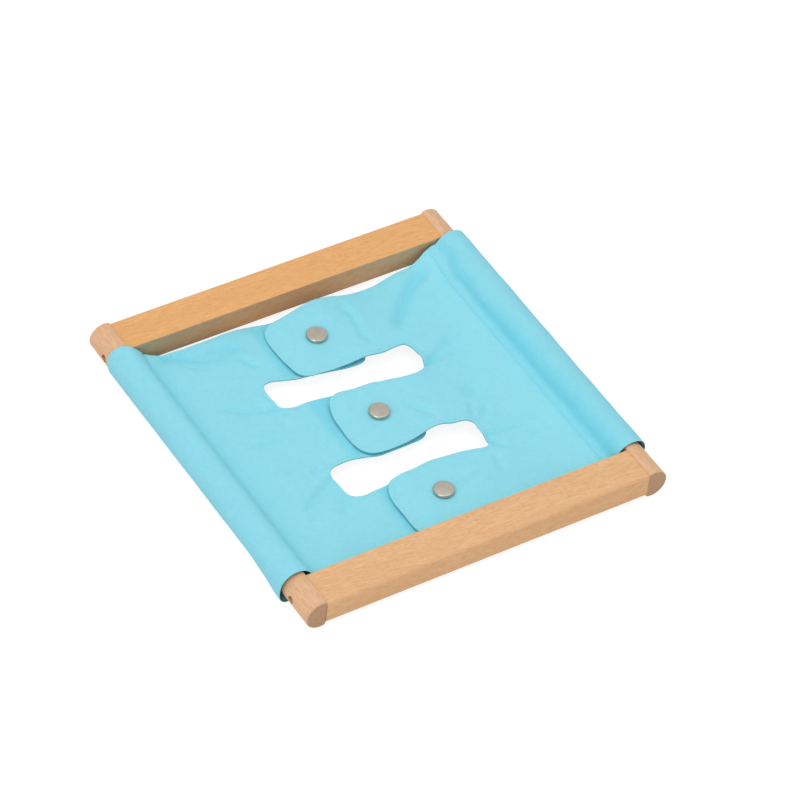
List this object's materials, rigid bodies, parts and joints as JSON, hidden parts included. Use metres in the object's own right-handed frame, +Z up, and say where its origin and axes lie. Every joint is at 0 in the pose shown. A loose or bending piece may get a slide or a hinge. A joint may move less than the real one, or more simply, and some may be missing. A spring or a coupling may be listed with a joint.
{
  "type": "dressing frame",
  "caption": "Rectangular wooden frame holding canvas flaps that overlap in the middle and close with press studs, for practising how to fasten clothes.",
  "frame": {"origin": "centre of the frame on the surface that it lies on", "axes": "+X across the rails, towards the flap that laps over; +Y along the rails, towards the rear crossbar; +Z up, out of the front of the cloth"},
  "size_m": [0.3024, 0.31, 0.026],
  "materials": {
    "rail_beech": "smooth sanded beech under a thin clear coat, pale and a little pink",
    "crossbar_beech": "smooth sanded beech under a thin clear coat, with short fine flecks along the grain",
    "dowel_beech": "plain turned beech",
    "canvas": "matt plain-woven cotton canvas, sky blue",
    "stud_nickel": "satin nickel plate",
    "spring_steel": "bright spring wire",
    "screw_steel": "zinc plated steel"
  },
  "bodies": {
    "frame": {"left_rail": "rail_beech", "right_rail": "rail_beech", "front_crossbar": "crossbar_beech", "rear_crossbar": "crossbar_beech", "front_left_screw": "screw_steel", "front_right_screw": "screw_steel", "rear_left_screw": "screw_steel", "rear_right_screw": "screw_steel", "front_left_dowel": "dowel_beech", "front_right_dowel": "dowel_beech", "rear_left_dowel": "dowel_beech", "rear_right_dowel": "dowel_beech"},
    "left_flap": {"left_sleeve": "canvas", "left_panel": "canvas", "rear_snap_stud": "stud_nickel", "middle_snap_stud": "stud_nickel", "front_snap_stud": "stud_nickel", "rear_snap_back": "stud_nickel", "middle_snap_back": "stud_nickel", "front_snap_back": "stud_nickel"},
    "right_flap": {"right_sleeve": "canvas", "right_panel": "canvas"},
    "rear_tab_end": {"rear_tab": "canvas", "rear_snap_cap": "stud_nickel", "rear_snap_socket": "stud_nickel", "rear_snap_spring": "spring_steel"},
    "middle_tab_end": {"middle_tab": "canvas", "middle_snap_cap": "stud_nickel", "middle_snap_socket": "stud_nickel", "middle_snap_spring": "spring_steel"},
    "front_tab_end": {"front_tab": "canvas", "front_snap_cap": "stud_nickel", "front_snap_socket": "stud_nickel", "front_snap_spring": "spring_steel"}
  },
  "joints": [
    {"name": "right_flap_open", "type": "hinge", "parent": "frame", "child": "right_flap", "pos_m": [0.13825, 0, 0.013], "axis": [0, 1, 0], "range_deg": [0, 170]},
    {"name": "left_flap_open", "type": "hinge", "parent": "frame", "child": "left_flap", "pos_m": [-0.13825, 0, 0.013], "axis": [0, -1, 0], "range_deg": [0, 122.5]},
    {"name": "rear_tab_lift", "type": "hinge", "parent": "right_flap", "child": "rear_tab_end", "pos_m": [0.028, 0.08, 0.014], "axis": [0, 1, 0], "range_deg": [0, 150]},
    {"name": "middle_tab_lift", "type": "hinge", "parent": "right_flap", "child": "middle_tab_end", "pos_m": [0.028, -0.005, 0.014], "axis": [0, 1, 0], "range_deg": [0, 150]},
    {"name": "front_tab_lift", "type": "hinge", "parent": "right_flap", "child": "front_tab_end", "pos_m": [0.028, -0.09, 0.014], "axis": [0, 1, 0], "range_deg": [0, 150]}
  ],
  "couplings": [
    {"joint": "left_flap_open", "follows": "right_flap_open", "ratio": 0.72}
  ]
}
